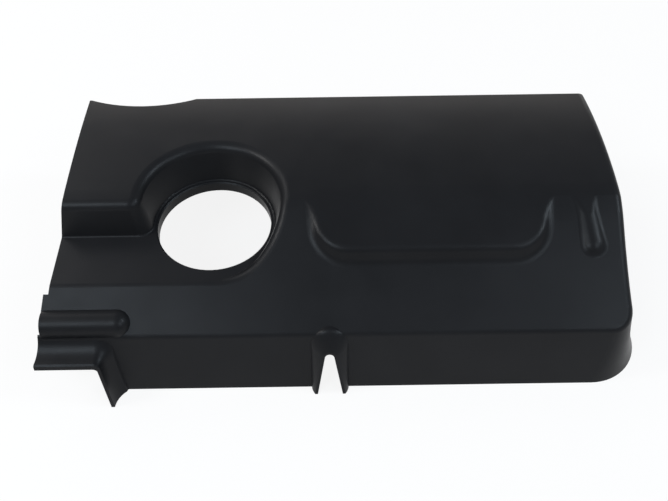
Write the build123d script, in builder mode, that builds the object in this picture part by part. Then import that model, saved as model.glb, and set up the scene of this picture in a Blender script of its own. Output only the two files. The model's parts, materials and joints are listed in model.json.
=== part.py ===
from build123d import *
import math
import os

# Engine cover: one moulded shell of black plastic.
# X runs along its length, +Y to the rear, +Z up. The origin is the middle of the rim's box, at the rim.

# Driving dimensions in millimetres, angles in degrees
rim_length = 460.0
rim_depth = 242.0
wall = 2.5

skirt_height = 51.5
floor_height = 70.5
deck_height = 102.0

skirt_draft = 15.2
left_draft = 11.8
right_draft = 1.1
rear_draft = 3.0
right_taper = 3.7
right_taper_start = 141.0
side_flare = 16.5
flare_height = 75.0
rim_corner_radius = 40.0
front_corner_radius = 14.0
edge_radius = 6.0

slope_run = 84.0
tail_turn = 12.2
crown_radius = 480.0
crown_setback = 80.0
tail_blend_radius = 100.0
bend_setback = 2.0
bend_radius = 100.0
bend_turn = 8.2
bend_run = 6.5
seam_radius = 7.0

hole_radius = 44.0
hole_from_left = 131.6
hole_behind_step = 11.0
hole_edge_chamfer = 0.9
lip_depth = 9.0
shelf_width = 46.0
well_ledge = 3.2
well_draft = 13.0
well_front_radius = 60.0
step_corner_radius = 10.0
step_rim_radius = 8.0
step_foot_radius = 1.8

pad_from_well = 76.0
pad_to_right = 75.0
pad_above_crease = 13.0
pad_corner_radius = 28.0
pad_flank = 52.0
pad_foot_radius = 10.0
pad_boss_height = 13.0
pad_boss_root = 4.0

bead_radius = 12.0
bead_height = 3.5
bead_fade = 2.5
bead_length = 40.0
bead_skew = 5.0
bead_to_right = 43.0
bead_above_crease = 25.0
bead_foot_radius = 6.0

scoop_radius = 104.0
scoop_depth = 9.5
scoop_from_left = 66.0

collar_reach = 15.0
collar_width = 58.0
collar_draft = 6.0
collar_flare = 26.0
collar_splay = 5.0
collar_root = 24.0
collar_bend_radius = 8.0
cove_radius = 18.0
cove_depth = 3.0

end_overhang = 10.4
ridge_radius = 10.8
ridge_sink = 3.5
ridge_length = 65.0
ridge_setback = 0.3

hood_from_left = 220.0
hood_reach = 6.5
hood_arch_radius = 5.5
hood_root_radius = 14.2
hood_lean = 9.0
hood_height = 41.5
hood_rise = 16.5
hood_length = 7.5
hood_root = 4.5
hood_wall = 2.0

socket_radius = 5.0
socket_wall = 3.0
socket_sides = 8
socket_depth = 13.0
socket_height = 45.0
socket_to_left = 70.0
socket_to_right = 68.0
socket_to_rear = 45.0
socket_to_front = 106.0
shelf_socket_to_left = 42.0
shelf_socket_behind = 23.0
web_thickness = 2.0
web_reach = 14.0

# Sizes that follow from the driving dimensions
left = -rim_length / 2
right = rim_length / 2
rear = rim_depth / 2
collar_front = -rim_depth / 2
skirt_front = collar_front + collar_reach
reach = rim_length
cutter = 4 * rim_length
block_top = deck_height + 2 * edge_radius


def tan(degrees):
    return math.tan(math.radians(degrees))


def cos(degrees):
    return math.cos(math.radians(degrees))


def sin(degrees):
    return math.sin(math.radians(degrees))


# The slope climbs from the skirt's crease to the crown, which it would meet just behind the bend
crease_y = skirt_front + skirt_height * tan(skirt_draft)
crown_y = rear - crown_setback
crown_center_z = deck_height - crown_radius


def crown_z(y):
    return crown_center_z + math.sqrt(crown_radius**2 - (y - crown_y) ** 2)


bend_y = crease_y + slope_run
slope_rise = crown_z(bend_y + bend_setback) - skirt_height
slope_angle = math.degrees(math.atan2(slope_rise, slope_run + bend_setback))
bend_tilt = slope_angle - bend_turn
tail_angle = slope_angle - tail_turn

shelf_front = crease_y + (floor_height - skirt_height) / tan(slope_angle)
step_foot_y = shelf_front + shelf_width
hole_x = left + hole_from_left
hole_y = step_foot_y + hole_behind_step
well_foot_radius = hole_radius + well_ledge
ridge_above_skirt = math.sqrt(ridge_radius**2 - ridge_sink**2) + ridge_setback


def slope_z(y):
    return floor_height + (y - shelf_front) * tan(slope_angle)


def run_to_crown(y, z, angle):
    """Distance rearward at which a line rising from (y, z) meets the crown."""
    a = 1 + tan(angle) ** 2
    b = (y - crown_y) + tan(angle) * (z - crown_center_z)
    c = (y - crown_y) ** 2 + (z - crown_center_z) ** 2 - crown_radius**2
    return (math.sqrt(b * b - a * c) - b) / a


tail_end_y = bend_y + run_to_crown(bend_y, slope_z(bend_y), tail_angle)


def tail_z(y):
    return slope_z(bend_y) + (y - bend_y) * tan(tail_angle)


def sunk(inset, angle):
    """Sideways shift of a drafted wall when it moves in by inset and its floor sinks by inset."""
    return inset / cos(angle) - inset * tan(angle)


def nearest(edges, x, y, z):
    return edges.sort_by_distance(Vector(x, y, z))[0]


def inner_bevel(radius, inset):
    """Chamfer of an inner corner that keeps the wall even behind a round outer one."""
    return (2 - math.sqrt(2)) * (radius - inset)


def slope_plane(inset):
    return Plane(
        origin=(0, shelf_front, floor_height),
        x_dir=(1, 0, 0),
        z_dir=(0, -sin(slope_angle), cos(slope_angle)),
    ).offset(-inset)


def right_x(z, inset):
    """Right wall at height z: nearly upright above, and flaring out to the rim in one arc."""
    flare_radius = (flare_height**2 + side_flare**2) / (2 * side_flare)
    below = max(flare_height - z, 0)
    flare = flare_radius - math.sqrt((flare_radius + inset) ** 2 - below**2)
    return right - side_flare - z * tan(right_draft) + flare


def outline(z, inset):
    """The five corners of the side walls at height z, moved in by inset."""
    x_left = left + z * tan(left_draft) + inset / cos(left_draft)
    x_right = right_x(z, inset)
    y_front = skirt_front + z * tan(skirt_draft) + inset / cos(skirt_draft)
    y_rear = rear - z * tan(rear_draft) - inset / cos(rear_draft)
    y_turn = rear - right_taper_start
    return [
        (x_left, y_front),
        (x_right, y_front),
        (x_right, y_turn),
        (x_right - right_taper * (y_rear - y_turn) / right_taper_start, y_rear),
        (x_left, y_rear),
    ]


def side_block(inset):
    """A tall block with the drafted side walls and the round front corner."""
    lowest = -inset
    with BuildPart() as block:
        for z in (lowest, flare_height / 3, 2 * flare_height / 3, flare_height, block_top):
            corner = outline(z, inset)[1]
            spread = max(1 - z / flare_height, 0) ** 2
            radius = front_corner_radius + (rim_corner_radius - front_corner_radius) * spread - inset
            turn, rear_right = outline(z, inset)[2:4]
            with BuildSketch(Plane.XY.offset(z)) as section:
                with BuildLine():
                    Polyline(*outline(z, inset)[3:], *outline(z, inset)[:3])
                    TangentArc(turn, rear_right, tangent=(0, 1))
                make_face()
                fillet(section.vertices().sort_by_distance(Vector(*corner))[0], radius)
        loft()
        scoop_x = left + scoop_from_left
        scoop_y = outline(deck_height, 0)[3][1] - scoop_depth + scoop_radius
        with BuildSketch(Plane.XY.offset(lowest)):
            with Locations((scoop_x, scoop_y)):
                Circle(scoop_radius + inset)
        extrude(amount=2 * block_top, mode=Mode.SUBTRACT)
    return block.part


def deck_form(inset):
    """Everything below the crowned deck, with the stepped pocket round the filler hole."""
    floor = floor_height - inset
    depth = 2 * (deck_height - floor_height)
    flare = depth * tan(well_draft)
    spread = sunk(inset, well_draft)
    foot_radius = well_foot_radius + spread
    front_radius = well_front_radius + spread
    front_x = hole_x + foot_radius - front_radius
    step_y = step_foot_y + spread
    bottom = (reach, -reach)
    crown_end = (reach, crown_z(reach))
    tail_end = (tail_end_y, tail_z(tail_end_y))
    tail_front = (-reach, tail_z(-reach))
    with BuildPart() as deck:
        with BuildSketch(Plane.YZ) as section:
            with BuildLine():
                Polyline(tail_end, tail_front, (-reach, -reach), bottom, crown_end)
                ThreePointArc(crown_end, (crown_y, deck_height), tail_end)
            make_face()
            fillet(section.vertices().sort_by_distance(Vector(*tail_end))[0], tail_blend_radius)
            if inset:
                offset(amount=-inset, kind=Kind.INTERSECTION, mode=Mode.REPLACE)
        extrude(amount=reach, both=True)
        with Locations((hole_x, hole_y, floor)):
            Cone(
                foot_radius,
                foot_radius + flare,
                depth,
                align=(Align.CENTER, Align.CENTER, Align.MIN),
                mode=Mode.SUBTRACT,
            )
        with Locations(Location((front_x, hole_y, floor), (0, 0, -90))):
            Cone(front_radius, front_radius + flare, depth, arc_size=90, align=None, mode=Mode.SUBTRACT)
        with BuildSketch(Plane.YZ.offset(front_x)):
            with BuildLine():
                Polyline(
                    (step_y, floor),
                    (step_y + flare, floor + depth),
                    (hole_y - front_radius - flare, floor + depth),
                    (hole_y - front_radius, floor),
                    close=True,
                )
            make_face()
        extrude(amount=-2 * reach, mode=Mode.SUBTRACT)
        corner_x = hole_x - math.sqrt(foot_radius**2 - (hole_y - step_y) ** 2)
        corner_z = floor + (deck_height - floor_height) / 3
        fillet(nearest(deck.edges(), corner_x, step_y, corner_z), step_corner_radius - inset)
        if not inset:
            fillet(nearest(deck.edges(), hole_x, hole_y + foot_radius, floor), step_foot_radius)
        rim_y = hole_y + foot_radius + (deck_height - floor_height) * tan(well_draft)
        fillet(nearest(deck.edges(), hole_x, rim_y, crown_z(rim_y) - inset), step_rim_radius - inset)
    return deck.part


def slope_form(inset):
    """Everything below the front slope, which bends softly back towards the deck."""
    turn_y = bend_y - bend_run
    far_z = slope_z(turn_y) + (reach - turn_y) * tan(bend_tilt)
    with BuildPart() as slope:
        with BuildSketch(Plane.YZ) as section:
            with BuildLine():
                Polyline(
                    (-reach, slope_z(-reach)),
                    (turn_y, slope_z(turn_y)),
                    (reach, far_z),
                    (reach, -2 * reach),
                    (-reach, -2 * reach),
                    close=True,
                )
            make_face()
            fillet(section.vertices().sort_by_distance(Vector(turn_y, slope_z(turn_y)))[0], bend_radius)
            if inset:
                offset(amount=-inset, kind=Kind.INTERSECTION, mode=Mode.REPLACE)
        extrude(amount=reach, both=True)
    return slope.part


def pad_sketch(plane, grow):
    """Foot of the broad pad, grown outwards on a lower plane."""
    pad_left = hole_x + pad_from_well - grow
    pad_right = right - pad_to_right + grow
    pad_front = pad_above_crease - grow
    with BuildSketch(plane) as pad:
        with BuildLine():
            Polyline(
                (pad_left, reach),
                (pad_left, pad_front),
                (pad_right, pad_front),
                (pad_right, reach),
                close=True,
            )
        make_face()
        fillet(pad.vertices().group_by(Axis.Y)[0], pad_corner_radius + grow)
    return pad.sketch


def bead_form(inset):
    """The round-nosed bead beside the right edge, which sinks into the slope towards the deck."""
    lean = slope_plane(0)
    nose_x = right - bead_to_right
    nose = lean.from_local_coords(Vector(nose_x, bead_above_crease, bead_height - bead_radius))
    tail = lean.from_local_coords(
        Vector(nose_x - bead_skew, bead_above_crease + bead_length, bead_height - bead_fade - bead_radius)
    )
    with BuildPart() as bead:
        with BuildSketch(Plane(origin=nose, z_dir=tail - nose)):
            Circle(bead_radius - inset)
        extrude(amount=3 * bead_length)
        with Locations(nose):
            Sphere(bead_radius - inset)
    return bead.part


def front_form(inset):
    """The slope with its round bead, and the boss whose top the deck trims to the broad pad."""
    grow = pad_boss_root * tan(pad_flank) - sunk(inset, pad_flank)
    with BuildPart() as front:
        add(slope_form(inset))
        pad = pad_sketch(slope_plane(inset + pad_boss_root), grow)
        extrude(pad, amount=pad_boss_root + pad_boss_height, taper=pad_flank)
        if not inset:
            pad_middle = (hole_x + pad_from_well + right - pad_to_right) / 2
            pad_foot = slope_plane(0).from_local_coords(Vector(pad_middle, pad_above_crease, 0))
            fillet(nearest(front.edges(), *pad_foot), pad_foot_radius)
        add(bead_form(inset))
        if not inset:
            nose_reach = math.sqrt(bead_radius**2 - (bead_radius - bead_height) ** 2)
            bead_foot = slope_plane(0).from_local_coords(
                Vector(right - bead_to_right, bead_above_crease - nose_reach, 0)
            )
            fillet(nearest(front.edges(), *bead_foot), bead_foot_radius)
    return front.part


def body_form(inset):
    """The cover's main body: slope and deck joined by a soft seam, inside the drafted walls."""
    with BuildPart() as body:
        add(front_form(inset))
        add(deck_form(inset), mode=Mode.INTERSECT)
        seam_x = hole_x + well_foot_radius - well_front_radius * (1 - cos(45))
        seam_y = hole_y - well_front_radius * sin(45)
        fillet(nearest(body.edges(), seam_x, seam_y, slope_z(seam_y) - inset), seam_radius - inset)
        add(side_block(inset), mode=Mode.INTERSECT)
        crease = outline(skirt_height, inset)[0][1]
        edge = nearest(body.edges(), 0, crease, skirt_height - inset)
        if inset:
            chamfer(edge, inner_bevel(edge_radius, inset))
        else:
            fillet(edge, edge_radius)
    return body.part


def cove_form(inset):
    """A round bar along the collar and down its free side, which hollows the flange to a cove."""
    stand_off = cove_radius - cove_depth
    middle = collar_reach / cos(slope_angle) / 2
    bar_y = crease_y - middle * cos(slope_angle) - stand_off * sin(slope_angle)
    bar_z = skirt_height - middle * sin(slope_angle) + stand_off * cos(slope_angle)
    side_x = left + collar_width - bar_z * tan(collar_draft) + collar_reach / 2 * tan(collar_flare)
    bar_x = side_x + stand_off * cos(collar_flare)
    drop = bar_z + reach / 2
    start = (left - reach / 2, bar_y, bar_z)
    bend = (bar_x, bar_y, bar_z)
    finish = (bar_x + drop * tan(collar_draft), bar_y - drop * tan(skirt_draft), bar_z - drop)
    with BuildPart() as bar:
        with BuildLine() as path:
            FilletPolyline(start, bend, finish, radius=stand_off + collar_bend_radius)
        with BuildSketch(Plane(origin=start, z_dir=(1, 0, 0))):
            Circle(cove_radius + inset)
        sweep(path=path.wire())
    return bar.part


def collar_form(inset):
    """The corner collar: the slope runs on past the skirt and turns down. The inner form has no front."""
    lowest = -inset
    with BuildPart() as collar:
        for z in (lowest, floor_height):
            skirt_y = skirt_front + z * tan(skirt_draft)
            x_end = left - inset if inset else left + end_overhang
            x_tip = x_end if inset else x_end - collar_splay
            x_free = left + collar_width - z * tan(collar_draft) - inset / cos(collar_flare)
            x_root = x_free + (collar_reach + collar_root) * tan(collar_flare)
            x_front = x_free - inset * tan(collar_flare)
            with BuildSketch(Plane.XY.offset(z)):
                with BuildLine():
                    Polyline(
                        (x_tip, skirt_y - collar_reach - inset),
                        (x_front, skirt_y - collar_reach - inset),
                        (x_root, skirt_y + collar_root),
                        (x_end, skirt_y + collar_root),
                        close=True,
                    )
                make_face()
        loft(ruled=True)
        with BuildSketch(slope_plane(inset)):
            Rectangle(cutter, cutter)
        extrude(amount=reach, mode=Mode.SUBTRACT)
        bend_z = skirt_height - collar_reach * tan(slope_angle)
        bend_x = left + collar_width - bend_z * tan(collar_draft)
        bend_edge = nearest(collar.edges(), bend_x + collar_root / 2, crease_y, skirt_height)
        fillet(bend_edge, collar_bend_radius - inset)
        add(cove_form(inset), mode=Mode.SUBTRACT)
    return collar.part


def ridge_form(inset):
    """The half-round ridge along the foot of the slope, with a round nose."""
    axis_y = crease_y + ridge_above_skirt * cos(slope_angle) + ridge_sink * sin(slope_angle)
    axis_z = skirt_height + ridge_above_skirt * sin(slope_angle) - ridge_sink * cos(slope_angle)
    radius = ridge_radius - inset
    x_end = left - inset if inset else left + end_overhang
    nose_x = left + end_overhang + ridge_length - ridge_radius
    with BuildPart() as ridge:
        with BuildSketch(Plane.YZ.offset(nose_x)):
            with Locations((axis_y, axis_z)):
                Circle(radius)
        extrude(amount=x_end - nose_x)
        if not inset:
            with Locations((nose_x, axis_y, axis_z)):
                Sphere(radius)
    return ridge.part


def hood_arch(mouth, depth, inset):
    """One arch of the hood: it widens and rises from the mouth, steeply at first."""
    growth = sin(90 * depth / hood_length)
    lean = hood_lean * (1 - growth)
    radius = hood_arch_radius + (hood_root_radius - hood_arch_radius) * growth - inset
    top = hood_height / cos(skirt_draft) + hood_rise * growth - inset
    spring = top - radius + radius * sin(lean)
    half = radius * cos(lean)
    foot = -hood_length - hood_root
    foot_half = half + (spring - foot) * tan(lean)
    with BuildSketch(mouth.offset(depth)) as arch:
        with BuildLine():
            Polyline((half, -spring), (foot_half, -foot), (-foot_half, -foot), (-half, -spring))
            ThreePointArc((-half, -spring), (0, -top), (half, -spring))
        make_face()
    return arch.sketch


def hood_form(inset):
    """The bulging hood round the notch in the skirt. The inner form is open in front."""
    mouth = Plane(
        origin=(left + hood_from_left, skirt_front - hood_reach, 0),
        x_dir=(1, 0, 0),
        z_dir=(0, cos(skirt_draft), -sin(skirt_draft)),
    ).offset(inset)
    depths = [hood_length * step / 4 for step in range(5)]
    with BuildPart() as hood:
        loft([hood_arch(mouth, depth, inset) for depth in depths])
        extrude(hood_arch(mouth, hood_length, inset), amount=hood_root - inset)
        if inset:
            extrude(hood_arch(mouth, 0, inset), amount=-hood_reach)
        with BuildSketch(Plane.XY.offset(-inset)):
            Rectangle(cutter, cutter)
        extrude(amount=-reach, mode=Mode.SUBTRACT)
    return hood.part


def sockets():
    """Cups for the ball studs, each on crossed webs that reach up into the wall above."""
    spots = [
        (left + socket_to_left, rear - socket_to_rear),
        (right - socket_to_right, rear - socket_to_rear),
        (right - socket_to_right, rear - socket_to_front),
        (left + shelf_socket_to_left, shelf_front + shelf_socket_behind),
    ]
    cup_radius = socket_radius + socket_wall
    cup_top = socket_height + socket_depth + socket_wall
    with BuildPart() as cups:
        with BuildSketch(Plane.XY.offset(socket_height)):
            with Locations(*spots):
                RegularPolygon(cup_radius, socket_sides)
        extrude(amount=cup_top - socket_height)
        with BuildSketch(Plane.XY.offset(cup_top - socket_wall)):
            with Locations(*spots):
                Rectangle(2 * web_reach, web_thickness)
                Rectangle(web_thickness, 2 * web_reach)
        extrude(amount=deck_height - cup_top + socket_wall)
        add(body_form(wall / 2), mode=Mode.INTERSECT)
        with BuildSketch(Plane.XY.offset(socket_height)):
            with Locations(*spots):
                Circle(socket_radius)
        extrude(amount=socket_depth, mode=Mode.SUBTRACT)
    return cups.part


with BuildPart() as cover:
    add(body_form(0))
    add(collar_form(0))
    add(ridge_form(0))
    add(hood_form(0))
    add(body_form(wall), mode=Mode.SUBTRACT)
    add(collar_form(wall), mode=Mode.SUBTRACT)
    add(ridge_form(wall), mode=Mode.SUBTRACT)
    add(hood_form(hood_wall), mode=Mode.SUBTRACT)
    with BuildSketch(Plane.XY.offset(floor_height - lip_depth)):
        with Locations((hole_x, hole_y)):
            Circle(hole_radius + wall)
    extrude(amount=lip_depth - wall / 2)
    with BuildSketch(Plane.XY):
        with Locations((hole_x, hole_y)):
            Circle(hole_radius)
    extrude(amount=deck_height, mode=Mode.SUBTRACT)
    chamfer(nearest(cover.edges(), hole_x, hole_y + hole_radius, floor_height), hole_edge_chamfer)
    add(sockets())

cover.part.label = "engine_cover"
os.makedirs("parts", exist_ok=True)
export_step(cover.part, "parts/engine_cover.step")
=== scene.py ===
import json
import math

import bpy
from mathutils import Matrix, Vector

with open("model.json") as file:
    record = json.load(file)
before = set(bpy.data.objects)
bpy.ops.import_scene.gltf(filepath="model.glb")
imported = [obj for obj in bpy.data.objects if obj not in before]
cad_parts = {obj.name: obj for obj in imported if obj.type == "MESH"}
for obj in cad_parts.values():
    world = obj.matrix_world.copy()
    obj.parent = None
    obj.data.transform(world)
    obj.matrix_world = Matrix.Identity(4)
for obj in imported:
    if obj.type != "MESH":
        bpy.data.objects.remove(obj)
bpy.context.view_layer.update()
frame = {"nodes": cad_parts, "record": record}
cover = frame["nodes"]["engine_cover"]
mounts = {mount["name"]: mount for mount in frame["record"]["mounts"]}
scene = bpy.context.scene

# The photograph's width and its focal length, both in its own pixels
PHOTO_WIDTH = 668
FOCAL_PIXELS = 800
SENSOR_MM = 36

# The camera stands in front of the cover, placed from the middle of the filler hole, in metres
EYE_FROM_HOLE = Vector((0.0927, -0.4033, 0.48075))
AIM_FROM_HOLE = Vector((0.0927, -0.0279, 0.00495))
CAMERA_ROLL = -0.0145

# The plastic: linear colours, gloss, and the cells of its noises per metre
PLASTIC_DARK = (0.0085, 0.0085, 0.0093, 1)
PLASTIC_PALE = (0.0112, 0.0112, 0.0122, 1)
PLASTIC_SPECULAR = 0.11
GLOSSY_ROUGHNESS = 0.33
DULL_ROUGHNESS = 0.41
DRIFT_CELLS = 14
SMEAR_CELLS = 45
GRAIN_CELLS = 1600
GRAIN_STRENGTH = 0.15
GRAIN_HEIGHT = 0.0001

# Most of a noise lies between these two values
NOISE_LOW = 0.3
NOISE_HIGH = 0.7

# The floor, and the share of it that the camera sees as plain white
FLOOR_SIZE = 40.0
FLOOR_COLOUR = (0.74, 0.74, 0.74, 1)
FLOOR_ROUGHNESS = 0.9
FLOOR_SPECULAR = 0.1
FLOOR_SHOWN = 0.88

# The sky's colours, and how high each of them stands, from 0 at the horizon to 1 overhead
HORIZON_COLOUR = (0.85, 0.85, 0.85, 1)
SKY_LOW = (0.20, 0.20, 0.20, 1)
SKY_TOP = (0.24, 0.26, 0.29, 1)
HORIZON_HEIGHT = 0.03
SKY_LOW_HEIGHT = 0.15
SKY_TOP_HEIGHT = 0.95

WHITE_LIGHT = (1.0, 0.99, 0.98)
BLUE_LIGHT = (0.78, 0.90, 1.0)
WARM_LIGHT = (1.0, 0.95, 0.90)
LIGHT_AIM = Vector((0, 0, 0.07))

# Each lamp's name, place, width and height in metres, radiance and colour
LAMPS = (
    ("left_light", (-0.75, -0.80, 1.30), 0.7, 0.7, 9.0, BLUE_LIGHT),
    ("right_light", (0.95, -0.85, 1.30), 0.7, 0.7, 6.0, BLUE_LIGHT),
    ("rear_light", (0.0, 2.2, 0.50), 3.6, 0.6, 4.2, WARM_LIGHT),
    ("left_rear_light", (-1.2, 1.1, 1.3), 1.0, 1.0, 3.0, WHITE_LIGHT),
    ("left_window", (-1.3, 0.0, 1.2), 0.5, 0.5, 22.0, WHITE_LIGHT),
    ("right_window", (1.3, 0.0, 1.2), 0.5, 0.5, 18.0, BLUE_LIGHT),
)


def mount_place(name):
    return Vector(mounts[name]["pos_m"])


def add_node(tree, kind, **settings):
    node = tree.nodes.new(kind)
    for name, value in settings.items():
        setattr(node, name, value)
    return node


def new_material(name):
    """A new material, with its node tree and its shader."""
    material = bpy.data.materials.new(name)
    material.use_nodes = True
    tree = material.node_tree
    return material, tree, tree.nodes["Principled BSDF"]


def noise(tree, scale, detail, roughness=0.5):
    """Noise that is fixed to the object, with scale in cells per metre."""
    place = add_node(tree, "ShaderNodeTexCoord")
    texture = add_node(tree, "ShaderNodeTexNoise")
    texture.inputs["Scale"].default_value = scale
    texture.inputs["Detail"].default_value = detail
    texture.inputs["Roughness"].default_value = roughness
    tree.links.new(place.outputs["Object"], texture.inputs["Vector"])
    return texture.outputs["Fac"]


def ramp(tree, value, low, high, low_colour, high_colour):
    """Blend from one colour to the other as value goes from low to high."""
    node = add_node(tree, "ShaderNodeValToRGB")
    node.color_ramp.elements[0].position = low
    node.color_ramp.elements[0].color = low_colour
    node.color_ramp.elements[1].position = high
    node.color_ramp.elements[1].color = high_colour
    tree.links.new(value, node.inputs["Fac"])
    return node.outputs["Color"]


def map_range(tree, value, low, high, to_low, to_high):
    node = add_node(tree, "ShaderNodeMapRange")
    node.inputs["From Min"].default_value = low
    node.inputs["From Max"].default_value = high
    node.inputs["To Min"].default_value = to_low
    node.inputs["To Max"].default_value = to_high
    tree.links.new(value, node.inputs["Value"])
    return node.outputs["Result"]


def black_plastic():
    """Satin black moulded plastic: a fine eroded grain, with slow drifts of tone and gloss."""
    material, tree, shader = new_material("black_plastic")
    drift = noise(tree, DRIFT_CELLS, 3)
    tone = ramp(tree, drift, NOISE_LOW, NOISE_HIGH, PLASTIC_DARK, PLASTIC_PALE)
    tree.links.new(tone, shader.inputs["Base Color"])
    smear = noise(tree, SMEAR_CELLS, 4, 0.6)
    gloss = map_range(tree, smear, NOISE_LOW, NOISE_HIGH, GLOSSY_ROUGHNESS, DULL_ROUGHNESS)
    tree.links.new(gloss, shader.inputs["Roughness"])
    shader.inputs["Specular IOR Level"].default_value = PLASTIC_SPECULAR
    grain = noise(tree, GRAIN_CELLS, 2, 0.6)
    bump = add_node(tree, "ShaderNodeBump")
    bump.inputs["Strength"].default_value = GRAIN_STRENGTH
    bump.inputs["Distance"].default_value = GRAIN_HEIGHT
    tree.links.new(grain, bump.inputs["Height"])
    tree.links.new(bump.outputs["Normal"], shader.inputs["Normal"])
    return material


def dress_cover():
    cover.data.materials.clear()
    cover.data.materials.append(black_plastic())
    for polygon in cover.data.polygons:
        polygon.use_smooth = True


def background_rays(tree):
    """One for a ray that comes straight, by reflection or through glass from the camera, else nought."""
    path = add_node(tree, "ShaderNodeLightPath")
    total = path.outputs["Is Camera Ray"]
    for name in ("Is Glossy Ray", "Is Transmission Ray"):
        both = add_node(tree, "ShaderNodeMath", operation="MAXIMUM")
        tree.links.new(total, both.inputs[0])
        tree.links.new(path.outputs[name], both.inputs[1])
        total = both.outputs["Value"]
    return total


def add_floor():
    """A pale floor that takes the cover's shadow."""
    bpy.ops.mesh.primitive_plane_add(size=FLOOR_SIZE)
    floor = bpy.context.object
    floor.name = "floor"
    material, tree, shader = new_material("pale_floor")
    shader.inputs["Base Color"].default_value = FLOOR_COLOUR
    shader.inputs["Roughness"].default_value = FLOOR_ROUGHNESS
    shader.inputs["Specular IOR Level"].default_value = FLOOR_SPECULAR
    glow = add_node(tree, "ShaderNodeEmission")
    blend = add_node(tree, "ShaderNodeMixShader")
    share = add_node(tree, "ShaderNodeMath", operation="MULTIPLY")
    share.inputs[1].default_value = FLOOR_SHOWN
    tree.links.new(background_rays(tree), share.inputs[0])
    tree.links.new(share.outputs["Value"], blend.inputs["Fac"])
    tree.links.new(shader.outputs["BSDF"], blend.inputs[1])
    tree.links.new(glow.outputs["Emission"], blend.inputs[2])
    tree.links.new(blend.outputs["Shader"], tree.nodes["Material Output"].inputs["Surface"])
    floor.data.materials.append(material)


def add_world():
    """A soft sky over a pale horizon, so that the floor seems to run on."""
    world = bpy.data.worlds.new("studio")
    scene.world = world
    world.use_nodes = True
    tree = world.node_tree
    place = add_node(tree, "ShaderNodeTexCoord")
    split = add_node(tree, "ShaderNodeSeparateXYZ")
    tree.links.new(place.outputs["Generated"], split.inputs["Vector"])
    tone = ramp(tree, split.outputs["Z"], HORIZON_HEIGHT, SKY_TOP_HEIGHT, HORIZON_COLOUR, SKY_TOP)
    low = tone.node.color_ramp.elements.new(SKY_LOW_HEIGHT)
    low.color = SKY_LOW
    tree.links.new(tone, tree.nodes["Background"].inputs["Color"])


def add_lamp(name, place, width, height, radiance, colour):
    """A soft oval light that faces the cover, as bright all over as radiance says."""
    lamp = bpy.data.lights.new(name, "AREA")
    lamp.shape = "ELLIPSE"
    lamp.size = width
    lamp.size_y = height
    lamp.energy = radiance * math.pi * (math.pi * width * height / 4)
    lamp.color = colour
    thing = bpy.data.objects.new(name, lamp)
    scene.collection.objects.link(thing)
    look = (LIGHT_AIM - Vector(place)).to_track_quat("-Z", "Y").to_matrix().to_4x4()
    thing.matrix_world = Matrix.Translation(place) @ look


def add_camera():
    hole = mount_place("filler_hole")
    eye = hole + EYE_FROM_HOLE
    aim = hole + AIM_FROM_HOLE
    data = bpy.data.cameras.new("camera")
    data.sensor_width = SENSOR_MM
    data.lens = SENSOR_MM * FOCAL_PIXELS / PHOTO_WIDTH
    camera = bpy.data.objects.new("camera", data)
    scene.collection.objects.link(camera)
    look = (aim - eye).to_track_quat("-Z", "Y").to_matrix().to_4x4()
    camera.matrix_world = Matrix.Translation(eye) @ look @ Matrix.Rotation(CAMERA_ROLL, 4, "Z")
    scene.camera = camera


dress_cover()
add_floor()
add_world()
for lamp in LAMPS:
    add_lamp(*lamp)
add_camera()
scene.view_settings.view_transform = "Standard"
